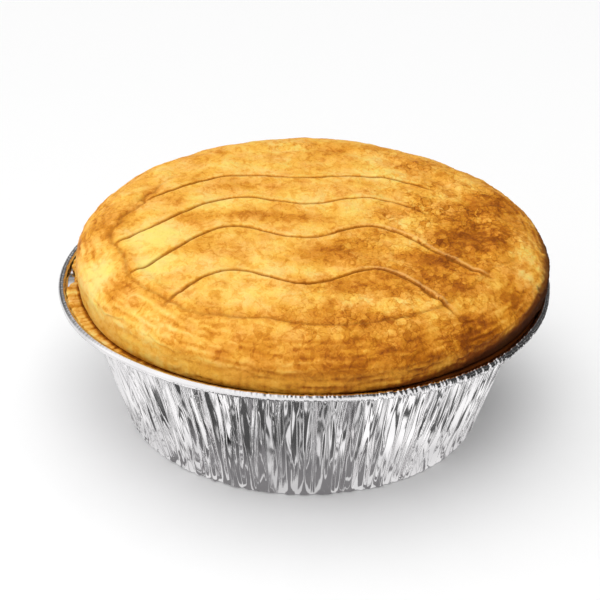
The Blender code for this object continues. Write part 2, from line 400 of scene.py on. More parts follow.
def foilMaterial():
    shader = Shader("crinkledFoil")
    wrinkles = shader.cloud(1.1 * mm, 4.0, 0.6, shader.stretched((1.0, 1.0, 0.12)))
    dents = shader.cells(3.2 * mm, "F1", shader.stretched((1.0, 1.0, 0.4)))
    colour = shader.ramp(shader.cloud(9 * mm, 2.0), foilTones)
    shader.feed(shader.surface.inputs["Base Color"], colour)
    shader.feed(shader.surface.inputs["Roughness"], shader.remap(shader.cloud(2.2 * mm), 0.3, 0.7, 0.06, 0.14))
    setInputs(shader.surface, {"Metallic": 1.0})
    fine = shader.bump(wrinkles, 0.03 * mm, 0.5)
    shader.feed(shader.surface.inputs["Normal"], shader.bump(dents, 0.04 * mm, 0.5, fine))
    return shader.material


def makeDish():
    work = spinProfile(dishProfile(), dish["steps"])
    for dot in work.verts:
        dot.co = foldFoil(dot.co)
    piece = makePiece("foilDish", work, foilMaterial())
    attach(piece, "root")
    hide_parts("foil_dish")
    return piece


# the case and filling, whose crust edge lies on the flange

crust = {
    "edgeRadius": 59.3 * mm,
    "top": 36.6 * mm,
    "bottom": 35.8 * mm,
    "topRings": (0.0, 30.0, 50.0, 54.0, 55.5, 56.3, 56.8, 57.2, 57.6, 58.0, 58.4, 58.7),  # in mm
    # radius and height down the inside of the dish, in mm
    "inDish": ((57.0, 35.8), (55.0, 35.8), (52.8, 34.3), (42.2, 2.6), (40.5, 0.75), (0.0, 0.75)),
    "steps": 888,
    "ribs": 148,
    "ribDepth": 0.26 * mm,
    "ribsFrom": 55.8 * mm,
    "sag": 0.2 * mm,
    "looseFrom": 57.5 * mm,    # the edge wanders in and out from here
    "lift": 0.45,              # how far it rises, as a share of its creep
    "breakAngle": math.radians(181.5),
    "breakWidth": math.radians(6),
    "breakDepth": 2.0 * mm,
    "darkAngle": math.radians(335),
    "gapShadowWidth": 0.6 * mm,     # width of the brown line of painted shadow in the gap under the lid's foot
}
# by bearing: how far the edge has crept towards the rolled rim, in mm
crustSpread = (
    (0, 0.3), (60, 0.2), (140, 0.3), (165, 0.5), (185, 0.9), (215, 1.1), (240, 0.6), (260, 0.3), (290, 0.3),
    (320, 0.5), (345, 0.4), (360, 0.3),
)


def crustProfile():
    top, edge, bottom = crust["top"], crust["edgeRadius"], crust["bottom"]
    points = [(radius * mm, top) for radius in crust["topRings"]]
    points += [(edge - 0.25 * mm, top - 0.07 * mm), (edge - 0.05 * mm, top - 0.3 * mm), (edge, top - 0.55 * mm)]
    points.append((edge - 0.2 * mm, bottom))
    return points + [(radius * mm, height * mm) for radius, height in crust["inDish"]]


def addMarks(work, names):  # a new layer moves the earlier ones, so they are fetched when all are there
    for name in names:
        work.verts.layers.float.new(name)
    return {name: work.verts.layers.float[name] for name in names}


def ribCrust(dot, marks):
    radius = math.hypot(dot.co.x, dot.co.y)
    angle = math.atan2(dot.co.y, dot.co.x)
    dot[marks["browning"]] = 0.8
    if radius < crust["ribsFrom"] or dot.co.z < crust["bottom"] - 0.1 * mm:
        return
    height = dot.co.z
    rib = zigzag(angle / math.tau * crust["ribs"] + 0.9 * roundNoise(angle, 16.0, 1.0))
    uneven = 0.6 + 0.6 * roundNoise(angle, 24.0, 8.0)
    onTop = smoothStep((radius - crust["ribsFrom"]) / (1.5 * mm)) * (height > crust["bottom"] + 0.2 * mm)
    height -= crust["ribDepth"] * rib * uneven * onTop
    height -= crust["sag"] * (0.5 + 0.5 * roundNoise(angle, 9.0, radius / mm)) * onTop
    loose = smoothStep((radius - crust["looseFrom"]) / (1.2 * mm))
    away = abs(math.remainder(angle - crust["breakAngle"], math.tau))
    broken = crust["breakDepth"] * (1.0 - smoothStep(away / crust["breakWidth"] - 0.2))
    wander = min(0.3 * mm * roundNoise(angle, 4.0, 3.0) + 0.25 * mm * roundNoise(angle, 26.0, 5.0), 0.1 * mm)
    pulled = roundTable(rimIn, angle) * mm
    spread = roundTable(crustSpread, angle) * mm
    radius += (spread + wander - broken - pulled - 0.2 * mm * rib) * loose
    height += crust["lift"] * spread * onTop * fading(broken, 0.5 * mm)
    shaded = smoothStep(0.25 + 0.9 * math.cos(angle - crust["darkAngle"]))  # browner towards the right, and darker there with painted shade, as that side is turned from the light
    foot = lid["footRadius"] + roundTable(footSpread, angle) * mm
    foot += lid["centre"].dot((math.cos(angle), math.sin(angle)))
    # painted shadow: a brown line along the lid's foot, in the gap between lid and crust
    gapShadow = fading(radius - foot, crust["gapShadowWidth"])
    tick = smoothStep((rib - 0.55) / 0.3) * (0.5 + roundNoise(angle, 30.0, 6.0))
    mottle = 0.35 * roundNoise(angle, 40.0, 2.0)
    # painted shade: the next two marks darken the crust on the right, where it lies beneath the lid's dark overhang
    dot[marks["under"]] = smoothStep(1.2 * shaded - 0.2)
    dot[marks["shadeAndBurn"]] = 0.6 * shaded ** 2
    dot[marks["browning"]] = 0.34 + 0.35 * tick + mottle + 0.7 * shaded + 0.6 * gapShadow
    dot.co = polar(radius, angle, height)


def makeCrust():
    work = spinProfile(crustProfile(), crust["steps"])
    marks = addMarks(work, ("browning", "under", "shadeAndBurn"))
    for dot in work.verts:
        ribCrust(dot, marks)
    piece = makePiece("crustEdge", work, pastryMaterial("bakedCrust", 0.15, 0.5))
    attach(piece, "root")
    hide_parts("pastry_base")
    return piece


# the risen lid

lid = {
    "centre": Vector((1.6 * mm, -0.7 * mm)),
    "bottom": 37.0 * mm,
    "footRadius": 58.4 * mm,
    "footHeight": 37.3 * mm,
    "radius": 59.1 * mm,
    "widest": 43.4 * mm,
    "top": 52.8 * mm,
    "shoulder": 22.8 * mm,
    "slope": Vector((-0.02, 0.05)),
    "uneven": 0.35 * mm,       # slow humps of the top
    "panelRadius": 47.0 * mm,
    "panelShift": 2.0 * mm,
    "panelAngle": math.radians(225),
    "panelBorder": 3.5 * mm,
    "panelDepth": 0.8 * mm,
    "panelCrown": 0.9 * mm,
    "cells": 228,              # squares across the top
    "sideRows": 16,
    # depth, more depth where flaky, and grain of the lumps
    "lumps": ((0.24 * mm, 0.0, 6.5 * mm), (0.11 * mm, 0.17 * mm, 2.7 * mm), (0.05 * mm, 0.09 * mm, 1.2 * mm)),
    "sunk": 0.24 * mm,         # the relief is let in by this much, to stay inside the even form
    "bigPlate": 4.4 * mm,
    "bigStep": 0.50 * mm,
    "smallPlate": 1.9 * mm,
    "smallStep": 0.46 * mm,
    "sideFrom": 48 * mm,       # run from the middle where the side begins
    "sideEase": 9 * mm,
    "plumpFrom": 42 * mm,
    "plumpEase": 10 * mm,
    "leafPitch": 2.3 * mm,
    "leafDepth": 0.42 * mm,
    "leafSlack": 0.72,         # the share of a leaf below its crest
    "nicksBelow": 41.5 * mm,   # short brown nicks above the foot
    "lowBandTop": 45.0 * mm,   # duller pastry low on the side
    "lowBandEase": 4.5 * mm,
    "creaseReach": 0.75 * mm,
    "creaseDepth": 0.30 * mm,
    "troughReach": 2.6 * mm,
    "troughDepth": 0.16 * mm,
}
waves = {
    "pitch": 37.0 * mm,
    "shift": -2.0 * mm,
    "slope": 0.06,
    "reach": 40.0 * mm,
    "width": 0.58 * mm,    # half the groove's width
    "floor": 0.12 * mm,    # half the width of its flat bottom
    "depth": 0.50 * mm,
    "lipAway": 1.1 * mm,
    "lipWidth": 0.42 * mm,
    "lipHeight": 0.12 * mm,
    "paleAway": 0.95 * mm,           # the pale skin of the lips
    "paleWidth": 0.34 * mm,
    "touched": 4 * mm,               # nothing changes further from a line than this
    "endEase": 5 * mm,
    "finer": (1.5 * mm, 0.65 * mm),  # the mesh is halved this near to a line, and again
    "farthest": 60 * mm,             # run beyond which there is no line
    # middle, height of the wave, droop of its ends, left end, right end, from the back
    "lines": (
        (25.2 * mm, 2.3 * mm, 11.2 * mm, -42.0 * mm, 31.0 * mm),
        (11.6 * mm, 4.6 * mm, 13.1 * mm, -48.5 * mm, 29.0 * mm),
        (-4.9 * mm, 7.2 * mm, 14.0 * mm, -44.0 * mm, 43.0 * mm),
        (-26.6 * mm, 8.1 * mm, 15.0 * mm, -34.0 * mm, 34.0 * mm),
    ),
}
# by bearing: the radius in mm of the crease round the pressed panel, and how clear it is
creaseRadius = (
    (0, 49.0), (60, 46.0), (110, 44.0), (150, 43.5), (167, 44.4), (180, 47.4), (188, 50.3), (201, 48.6), (212, 50.8),
    (228, 50.2), (237, 50.6), (247, 48.3), (258, 45.9), (270, 46.9), (290, 47.5), (307, 48.1), (320, 47.2),
    (335, 47.0), (345, 50.5), (360, 49.0),
)
creaseClear = (
    (0, 0.1), (60, 0.0), (140, 0.0), (150, 0.3), (158, 1.0), (172, 1.0), (186, 0.8), (201, 0.8), (212, 0.5),
    (228, 0.8), (237, 0.5), (247, 0.9), (258, 1.0), (290, 1.0), (307, 0.9), (320, 0.3), (335, 0.5), (360, 0.1),
)
# by bearing: how far the side stands out beyond the even form and how far the foot spreads over the crust, in mm,
# and the height in mm below which the side is dark, with baked brown and painted shade
sidePlump = (
    (0, 0.5), (25, 0.7), (50, 0.4), (90, 0.6), (110, 0.4), (135, 0.15), (160, 0.0), (330, 0.0), (345, 0.3),
    (360, 0.5),
)
footSpread = (
    (0, 0.0), (60, 0.0), (195, 0.0), (222, 1.0), (272, 1.0), (290, 0.3), (306, -0.5), (335, -0.4), (350, 0.0),
    (360, 0.0),
)
darkBelow = (
    (0, 47.5), (20, 46.0), (60, 41.0), (120, 37.8), (190, 36.9), (212, 36.2), (235, 36.1), (255, 36.7), (272, 37.3),
    (285, 38.0), (295, 39.2), (310, 40.8), (322, 43.2), (338, 46.0), (360, 47.5),
)
# where the lid has browned more or less than round about: x, y, reach across, reach along y in mm, how much
bakedPatches = (
    (-50.0, 1.0, 8.0, 9.0, 0.22), (-47.5, -29.0, 7.0, 4.5, 0.22), (-37.0, 12.0, 6.0, 5.0, 0.16),
    (-13.0, 2.0, 14.0, 3.2, 0.26), (1.0, -17.0, 9.0, 5.0, 0.26), (11.0, -13.0, 8.0, 6.0, 0.14),
    (4.0, -44.0, 14.0, 5.0, 0.12), (6.0, 42.0, 12.0, 6.0, 0.12), (38.0, -4.0, 11.0, 9.0, 0.42),
    (45.0, 14.0, 9.0, 9.0, 0.24), (31.0, -18.0, 9.0, 5.5, 0.30), (18.0, -20.0, 10.0, 7.0, 0.14),
    (24.0, -29.0, 14.0, 7.0, 0.24), (13.0, -56.0, 16.0, 7.0, 0.22), (30.0, -49.0, 11.0, 8.0, 0.24),
    (-10.0, -50.0, 12.0, 5.0, 0.08), (27.0, 8.0, 12.0, 6.0, 0.12), (-20.0, 20.0, 7.0, 4.0, 0.08),
    (-31.0, 0.0, 6.0, 3.0, 0.10), (30.0, 33.0, 12.0, 7.0, 0.10), (54.0, -5.0, 6.0, 9.0, -0.10),
    (-39.0, -9.0, 10.0, 6.0, -0.32), (-34.0, -22.0, 8.0, 5.0, -0.20), (-53.0, -18.0, 5.0, 9.0, -0.10),
    (-16.0, 41.0, 12.0, 6.0, -0.04), (8.0, 12.0, 20.0, 5.0, -0.10), (-28.0, 8.0, 9.0, 4.0, -0.14),
    (-16.0, -24.0, 9.0, 5.0, -0.14), (-13.0, -36.0, 13.0, 4.0, -0.12), (53.0, -14.0, 6.0, 8.0, -0.22),
    (-42.0, -40.0, 8.0, 6.0, -0.12), (-52.0, -32.0, 6.0, 8.0, -0.14), (21.0, -38.0, 12.0, 3.0, -0.08),
    (17.0, 27.0, 14.0, 4.0, -0.12), (-5.0, -5.0, 7.0, 3.0, -0.10), (-17.0, -8.0, 8.0, 5.0, 0.08),
    (-5.0, -7.0, 7.0, 4.0, 0.12), (18.7, -4.0, 7.0, 4.0, 0.17), (30.0, -17.0, 6.0, 5.0, 0.12),
    (43.0, -14.0, 7.0, 5.0, 0.14), (6.6, -30.0, 7.0, 5.0, 0.12), (29.6, -28.0, 7.0, 5.0, 0.16),
    (-51.0, -28.6, 5.0, 8.0, -0.12), (-38.8, -39.2, 6.0, 6.0, 0.13), (-27.0, -42.0, 6.0, 6.0, 0.10),
    (6.6, -41.6, 7.0, 5.0, 0.14), (18.0, -50.0, 8.0, 5.0, 0.10), (28.8, -46.0, 6.0, 4.0, -0.12),
    (40.5, -42.0, 6.0, 6.0, 0.26), (-39.0, -27.0, 6.0, 6.0, -0.10), (-39.0, -44.0, 9.0, 5.0, -0.12),
    (50.0, -26.0, 5.0, 6.0, 0.10), (-30.0, 39.0, 9.0, 5.0, 0.10), (29.0, 0.0, 8.0, 5.0, -0.14),
    (40.0, -36.0, 7.0, 5.0, -0.08), (27.0, -42.0, 7.0, 4.0, -0.08), (2.0, -12.0, 10.0, 4.0, 0.06),
    (-52.0, -24.0, 5.0, 9.0, -0.12), (8.0, -31.0, 12.0, 4.0, 0.08), (40.0, -44.0, 6.0, 5.0, 0.08),
    (-15.7, -56.0, 8.0, 5.0, 0.18), (4.0, -57.0, 16.0, 5.0, 0.10), (49.0, -30.0, 5.0, 6.0, 0.14),
)
# where the lid has flaked most: x, y, reach in mm
flakySpots = ((12, -12, 10), (7, -40, 14), (0, -50, 12), (26, -47, 14), (30, 4, 16), (-6, 44, 8))


def lidOutline():  # (run, radius, height) from the top's middle, over the shoulder, down the side and under
    flat = lid["radius"] - lid["shoulder"]
    points = [(flat * index / 12, lid["top"]) for index in range(13)]
    for index in range(1, 41):
        turn = 0.5 * math.pi * (1.0 - index / 40)
        points.append((flat + lid["shoulder"] * math.cos(turn), mix(lid["widest"], lid["top"], math.sin(turn))))
    widestAt = len(points) - 1
    for index in range(1, 11):
        share = index / 10
        radius = mix(lid["radius"], lid["footRadius"], share * share)
        points.append((radius, mix(lid["widest"], lid["footHeight"], share)))
    points += [(lid["footRadius"] - 0.5 * mm, lid["bottom"] + 0.05 * mm), (lid["footRadius"] - 1.2 * mm, lid["bottom"])]
    points.append((lid["footRadius"] - 4 * mm, lid["bottom"]))
    runs = [0.0]
    for first, second in zip(points, points[1:]):
        runs.append(runs[-1] + math.dist(first, second))
    return runs, points, runs[widestAt]


def alongLid(runs, points, run):  # the place on the outline, and which way is out
    index = min(max(bisect.bisect_right(runs, run) - 1, 0), len(points) - 2)
    first, second = points[index], points[index + 1]
    length = runs[index + 1] - runs[index]
    share = (run - runs[index]) / length
    out = ((first[1] - second[1]) / length, (second[0] - first[0]) / length)
    return mix(first[0], second[0], share), mix(first[1], second[1], share), out


def waveLine(line, x):
    middle, height, droop = line[:3]
    off = x - waves["shift"]
    y = middle + waves["slope"] * x - 0.5 * height * math.cos(math.tau * off / waves["pitch"])
    return y - droop * abs(off / waves["reach"]) ** 3


def waveDistance(x, y):  # how far the nearest scored line is, how deep it is pressed there, and which side this is
    best, press, behind = math.inf, 0.0, False
    step = 0.5 * mm
    for line in waves["lines"]:
        if not line[3] - 2 * mm < x < line[4] + 2 * mm:
            continue
        here = waveLine(line, x)
        if abs(y - here) > 8 * mm:
            continue
        rise = (waveLine(line, x + step) - here) / step
        beyond = max(line[3] - x, x - line[4], 0.0)
        distance = math.hypot(abs(y - here) / math.hypot(1.0, rise), beyond)
        if distance < best:
            best, behind = distance, y > here
            press = smoothStep(min(x - line[3], line[4] - x) / waves["endEase"] + 0.3)
    return best, press, behind


def panelDrop(radius, angle):
    edge = lid["panelRadius"] + lid["panelShift"] * math.cos(angle - lid["panelAngle"])
    crown = lid["panelCrown"] * max(1.0 - (radius / edge) ** 2, 0.0)
    return lid["panelDepth"] * smoothStep((edge - radius) / lid["panelBorder"]) - crown


def patchBrowning(x, y):
    total = 0.0
    strayX = 3.0 * mm * noise.noise(Vector((x, y, 3 * mm)) / (5 * mm))
    strayY = 2.0 * mm * noise.noise(Vector((x, y, 9 * mm)) / (3 * mm))
    for px, py, across, along, amount in bakedPatches:
        away = math.hypot((x + strayX - px * mm) / (across * mm), (y + strayY - py * mm) / (along * mm))
        if away < 1.4:
            total += amount * smoothStep(1.4 - away)
    return total


def flakes(x, y, size, seed):  # thin plates of blistered pastry: height from 0 to 1, and how near their edge is
    place = Vector((x, y, seed * mm))
    place += 0.45 * size * noise.noise_vector(place / (1.3 * size))
    distances, centres = noise.voronoi(place / size)
    level = chanceAt(*(centres[0] * 7.3))
    return level, fading(distances[1] - distances[0], 0.14)


def flakiness(x, y):  # the right and the middle of the front have flaked most
    spread = 0.12 + 0.55 * smoothStep((x - 2 * mm) / (30 * mm))
    for px, py, reach in flakySpots:
        spread += 0.4 * smoothStep(1.3 - math.hypot(x - px * mm, y - py * mm) / (reach * mm))
    patchy = smoothStep(0.55 + 1.4 * noise.noise(Vector((x, y, 30 * mm)) / (6 * mm)))
    return min(spread, 1.0) * (0.35 + 0.65 * patchy)


def lidRelief(x, y, radius, angle, run, height):  # what stands off the smooth form, and how each spot is baked
    place = Vector((x, y, height))
    flaky = flakiness(x, y)
    side = smoothStep((run - lid["sideFrom"]) / lid["sideEase"])
    relief = sum((depth + more * flaky) * noise.noise(place / grain) for depth, more, grain in lid["lumps"])
    bigLevel, bigEdge = flakes(x, y, lid["bigPlate"], 0.0)
    smallLevel, smallEdge = flakes(x, y, lid["smallPlate"], 40.0)
    plates = lid["bigStep"] * (bigLevel - 0.5) + lid["smallStep"] * (smallLevel - 0.5)
    relief += plates * flaky * (1.0 - 0.6 * side)
    brown = 0.335 + 0.13 * noise.noise(place / (11 * mm))
    brown += 0.10 * noise.noise(Vector((x, 0.7 * y, height)) / (4.2 * mm))
    brown += 0.05 * noise.noise(Vector((0.5 * x, y, 70 * mm)) / (3.4 * mm))
    brown += flaky * (0.08 * (bigLevel - 0.4) + 0.10 * bigEdge * (bigLevel > 0.5))
    brown += flaky * 0.12 * smallEdge * (smallLevel > 0.45)
    # browner towards the right: partly baked colour, partly painted shade on the side turned from the light
    brown += 0.13 * smoothStep((x - 10 * mm) / (45 * mm)) + patchBrowning(x, y)
    # puffed leaves round the side
    leaf = run / lid["leafPitch"]
    leaf += 1.3 * roundNoise(angle, 5.0, 0.0) + 0.45 * roundNoise(angle, 26.0, run / (3 * mm))
    saw = leaf - math.floor(leaf)
    ridge = min(saw / lid["leafSlack"], (1.0 - saw) / (1.0 - lid["leafSlack"]))
    strength = max(0.5 + 0.9 * roundNoise(angle, 13.0, run / (2.4 * mm) + 5.0), 0.0)
    relief += lid["leafDepth"] * side * strength * (ridge - 0.6)
    brown += side * (0.30 * strength * (0.55 - ridge) + 0.05 + 0.24 * roundNoise(angle, 7.0, run / (1.2 * mm)))
    brown += 0.3 * roundNoise(angle, 60.0, 3.0) * smoothStep((lid["nicksBelow"] - height) / (2 * mm))
    # the under side is dark, most of all on the right: partly baked brown, partly painted shade
    # beneath the overhang and on the side turned from the light
    darkHeight = roundTable(darkBelow, angle)
    ragged = 0.9 * noise.noise(place / (2.6 * mm)) + 0.6 * noise.noise(place / (1.1 * mm))
    ragged *= 0.4 + 0.6 * smoothStep((darkHeight - 38.5) / 3.0)
    under = smoothStep((darkHeight + ragged - height / mm + 0.6) / 1.5)
    shadeAndBurn = smoothStep((darkHeight - height / mm) / 3.2) * smoothStep((darkHeight - 38.8) / 2.5)
    # the crease round the pressed panel
    clear = roundTable(creaseClear, angle)
    rough = 0.5 + 0.8 * smoothStep(1.0 - abs(math.degrees(angle) % 360.0 - 170.0) / 40.0)
    edge = roundTable(creaseRadius, angle) * mm + rough * mm * noise.noise(place / (2.6 * mm))
    off = abs(edge - radius)
    crease = clear * fading(off, lid["creaseReach"])
    trough = clear * fading(off, lid["troughReach"])
    relief -= lid["creaseDepth"] * crease + lid["troughDepth"] * trough
    # painted shade in the trough and the crease round the panel
    brown += 0.16 * trough
    scoredAndShaded = 0.6 * crease
    # the waves and the lips that they push up
    lipped = 0.0
    distance, press, behind = waveDistance(x, y)
    if distance < waves["touched"]:
        press *= 0.95 + 0.2 * noise.noise(place / (7 * mm))
        groove = fading(distance - waves["floor"], waves["width"] - waves["floor"])
        lip = math.exp(-((distance - waves["lipAway"]) / waves["lipWidth"]) ** 2)
        relief = mix(relief, 0.0, groove) + press * (waves["lipHeight"] * lip - waves["depth"] * groove)
        if behind and y < 2 * mm:  # the far lips of the two front waves are pale towards the right
            lipped = press * smoothStep((x - 5 * mm) / (16 * mm))
            lipped *= math.exp(-((distance - waves["paleAway"]) / waves["paleWidth"]) ** 2)
        # a brown band of painted shade along each groove, a little lighter on the lips
        brown += press * (0.16 * fading(distance - 0.25 * mm, 0.6 * mm) - 0.05 * lip)
        # the groove's dark line: the cut's own colour with painted shade in it
        scoredAndShaded = max(scoredAndShaded, press * groove)
    lowBand = smoothStep((lid["lowBandTop"] - height) / lid["lowBandEase"]) * (1.0 - under)
    return relief - lid["sunk"], {
        "browning": brown, "scoredAndShaded": scoredAndShaded, "flaky": flaky * (1.0 - 0.5 * side), "lipped": lipped,
        "lowBand": lowBand, "under": under, "shadeAndBurn": shadeAndBurn,
    }


def placeLidDot(dot, runs, points, layers):  # from its run on the flat disc to its place on the lid
    run = dot.co.length
    angle = math.atan2(dot.co.y, dot.co.x)
    radius, height, out = alongLid(runs, points, run)
    x, y = radius * math.cos(angle), radius * math.sin(angle)
    relief, marks = lidRelief(x, y, radius, angle, run, height)
    for name, mark in marks.items():
        dot[layers[name]] = mark
    relief += roundTable(sidePlump, angle) * mm * smoothStep((run - lid["plumpFrom"]) / lid["plumpEase"])
    relief *= smoothStep((height - lid["bottom"]) / (1 * mm))
    spread = roundTable(footSpread, angle) * mm * smoothStep((lid["widest"] - height) / (5 * mm))
    spread *= smoothStep((radius - 54 * mm) / (2 * mm))
    x, y = x + spread * math.cos(angle), y + spread * math.sin(angle)
    lift = max(height - lid["footHeight"], 0.0) / (lid["top"] - lid["footHeight"])
    bump = noise.noise(Vector((x, y, 0.0)) / (14 * mm))
    bump += 0.5 * noise.noise(Vector((x, y, 5.0 * mm)) / (6 * mm))
    swell = 1.0 + 0.006 * min(lift * 4.0, 1.0) * roundNoise(angle, 2.0, 7.0)
    lean = lid["slope"].x * x + lid["slope"].y * y
    rise = lift * (lean + lid["uneven"] * bump) - smoothStep(2.0 * lift) * panelDrop(radius, angle)
    x = x * swell + relief * out[0] * math.cos(angle)
    y = y * swell + relief * out[0] * math.sin(angle)
    dot.co = (lid["centre"].x + x, lid["centre"].y + y, height + rise + relief * out[1])


def buildLidMesh():
    runs, points, widestRun = lidOutline()
    work = bmesh.new()
    bmesh.ops.create_grid(work, x_segments=lid["cells"], y_segments=lid["cells"], size=1.0)
    for dot in work.verts:  # the square becomes a disc, as wide as the run from the middle to the widest ring
        u, v = dot.co.x, dot.co.y
        dot.co = Vector((u * math.sqrt(1 - v * v / 2), v * math.sqrt(1 - u * u / 2), 0.0)) * widestRun
    rows = lid["sideRows"]
    edgeRing = [edge for edge in work.edges if edge.is_boundary]
    for index in range(1, rows + 1):
        grown = bmesh.ops.extrude_edge_only(work, edges=edgeRing)["geom"]
        run = mix(widestRun, runs[-1], index / rows)
        for dot in (item for item in grown if isinstance(item, bmesh.types.BMVert)):
            dot.co = dot.co.normalized() * run
        edgeRing = [item for item in grown if isinstance(item, bmesh.types.BMEdge)]
    for reach in waves["finer"]:
        near = []
        for edge in work.edges:
            middle = (edge.verts[0].co + edge.verts[1].co) / 2
            run = middle.length
            if run > waves["farthest"]:
                continue
            scale = alongLid(runs, points, run)[0] / max(run, 1e-6)
            if waveDistance(middle.x * scale, middle.y * scale)[0] < reach:
                near.append(edge)
        bmesh.ops.subdivide_edges(work, edges=near, cuts=1, use_grid_fill=True)
    layers = addMarks(work, ("browning", "scoredAndShaded", "flaky", "lipped", "lowBand", "under", "shadeAndBurn"))
    for dot in work.verts:
        placeLidDot(dot, runs, points, layers)
    bmesh.ops.holes_fill(work, edges=[edge for edge in work.edges if edge.is_boundary], sides=0)
    bmesh.ops.recalc_face_normals(work, faces=work.faces)
    return work


pastryTones = (
    (0.00, (0.85, 0.66, 0.150)),
    (0.18, (0.85, 0.56, 0.112)),
    (0.33, (0.84, 0.44, 0.062)),
    (0.47, (0.74, 0.325, 0.032)),
    (0.61, (0.61, 0.230, 0.013)),
    (0.78, (0.43, 0.130, 0.004)),
    (1.00, (0.24, 0.058, 0.002)),
)
blushTone = (1.0, 0.96, 1.6)
khakiTone = (0.80, 0.98, 1.5)
lowBandTone = (0.68, 0.335, 0.036)
# mark, how far it covers what is under it, colour
markTones = (
    ("lipped", 0.6, (0.86, 0.50, 0.17)),
    # the next three tones carry painted shade in the grooves, under the lid and on its right, as well as baked colour
    ("scoredAndShaded", 0.92, (0.27, 0.090, 0.005)),
    ("under", 0.85, (0.16, 0.036, 0.003)),
    ("shadeAndBurn", 0.9, (0.045, 0.010, 0.002)),
)


def pastryMaterial(name, dull=0.0, khaki=0.0):
    shader = Shader(name)
    plateSize, plateLow, plateHigh = 1.9 * mm, -0.26, 0.20
    brown, flaky = shader.attribute("browning"), shader.attribute("flaky")
    deep = shader.stretched((1.0, 0.78, 1.0))  # marks run a little longer across the waves than along them
    loose = shader.wobbled(2.0 * mm, 2.0 * mm, deep)
    # soft clouds, crisp stains, fine grain, and plates of loose pastry where it has flaked
    patches = shader.remap(shader.cloud(3.2 * mm, 4.0, 0.58, deep, 0.5), 0.3, 0.7, -0.11, 0.11)
    stains = shader.remap(shader.cloud(2.0 * mm, 3.0, 0.55, deep, 1.0), 0.52, 0.57, -0.03, 0.10)
    grain = shader.remap(shader.cloud(0.55 * mm, 3.0, 0.6), 0.35, 0.7, -0.05, 0.05)
    plate = shader.remap(shader.cells(plateSize, "F1", loose, "Color"), 0.0, 1.0, plateLow, plateHigh)
    plateEdge = shader.remap(shader.cells(plateSize, "DISTANCE_TO_EDGE", loose), 0.0, 0.09, 0.24, 0.0)
    loosened = shader.maths("ADD", plate, plateEdge)
    loosened = shader.maths("MULTIPLY", loosened, shader.remap(flaky, 0.1, 0.9, 0.10, 1.0))
    tone = shader.maths("ADD", shader.maths("ADD", brown, patches), shader.maths("ADD", stains, grain))
    tone = shader.maths("ADD", tone, loosened, clamp=True)
    colour = shader.ramp(tone, pastryTones)
    blush = shader.remap(shader.cloud(5.5 * mm, 3.0), 0.4, 0.65, 0.0, 0.55)
    colour = shader.blend(blush, colour, blushTone, "MULTIPLY")
    colour = shader.blend(khaki, colour, khakiTone, "MULTIPLY")
    low = shader.maths("MULTIPLY", shader.attribute("lowBand"), shader.remap(brown, 0.5, 0.95, 0.6, 0.0))
    colour = shader.blend(low, colour, lowBandTone)
    for mark, cover, markTone in markTones:
        colour = shader.blend(shader.maths("MULTIPLY", shader.attribute(mark), cover), colour, markTone)
    surface = shader.surface
    shader.feed(surface.inputs["Base Color"], colour)
    shine = shader.remap(shader.cloud(2.0 * mm), 0.3, 0.7, 0.42 + dull, 0.6 + dull)
    shine = shader.maths("MULTIPLY_ADD", shader.attribute("under"), 0.35, shine, clamp=True)
    shader.feed(surface.inputs["Roughness"], shine)
    setInputs(surface, {"Specular IOR Level": 0.07, "Subsurface Weight": 0.06})
    setInputs(surface, {"Subsurface Radius": (1.0, 0.4, 0.12), "Subsurface Scale": 0.8 * mm})
    crumb = shader.bump(shader.cloud(0.5 * mm, 3.0, 0.6), 0.07 * mm, 0.9)
    puckered = shader.remap(flaky, 0.1, 0.8, 0.5, 1.0)
    puckers = shader.bump(shader.cloud(1.4 * mm, 4.0, 0.6, deep, 0.8), 0.55 * mm, puckered, crumb)
    steps = shader.maths("MULTIPLY", shader.remap(plate, plateLow, plateHigh), flaky)
    shader.feed(surface.inputs["Normal"], shader.bump(steps, 0.55 * mm, 1.0, puckers))
    return shader.material


def makeLid():
    piece = makePiece("risenLid", buildLidMesh(), pastryMaterial("goldenLid"))
    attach(piece, "root")
    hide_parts("pastry_lid")
    return piece


# the floor and the studio light

studio = {
    "floorSize": 3.0,
    # the room's light: axis, where on it the light begins and where it is full, how bright
    "room": (
        ("X", 0.8, -0.8, 0.50), ("X", -0.8, 0.8, 0.14), ("Y", 0.8, -0.8, 0.11), ("Y", -0.8, 0.8, 0.15),
        ("Z", 0.6, 1.0, 1.42),
    ),
    # name, place, size, watts, colour, whether it lights the pie alone
    "lamps": (
        ("frontLamp", (0.0, -0.55, 0.95), 0.6, 2.3, (1.0, 1.0, 1.0), False),
        ("fillLamp", (-0.55, -0.62, 0.60), 0.4, 0.8, (1.0, 1.0, 1.0), True),
        ("keyLamp", (-0.98, 0.17, 0.46), 0.3, 1.8, (1.0, 0.99, 0.97), True),
    ),
}


def addWorld():
    world = bpy.data.worlds.new("studio")
    world.use_nodes = True
    nodes, links = world.node_tree.nodes, world.node_tree.links
    nodes["Background"].inputs["Color"].default_value = (1.0, 1.0, 1.0, 1.0)
    place = nodes.new("ShaderNodeTexCoord")
    split = nodes.new("ShaderNodeSeparateXYZ")
    links.new(place.outputs["Generated"], split.inputs["Vector"])
    total = None
    for axis, begin, full, strength in studio["room"]:
        across = nodes.new("ShaderNodeMapRange")
        across.interpolation_type = "SMOOTHSTEP"
        setInputs(across, {"From Min": begin, "From Max": full, "To Min": 0.0, "To Max": strength})
        links.new(split.outputs[axis], across.inputs["Value"])
        plus = nodes.new("ShaderNodeMath")
        links.new(across.outputs["Result"], plus.inputs[0])
        plus.inputs[1].default_value = 0.0
        if total:
            links.new(total, plus.inputs[1])
        total = plus.outputs["Value"]
    links.new(total, nodes["Background"].inputs["Strength"])
    bpy.context.scene.world = world


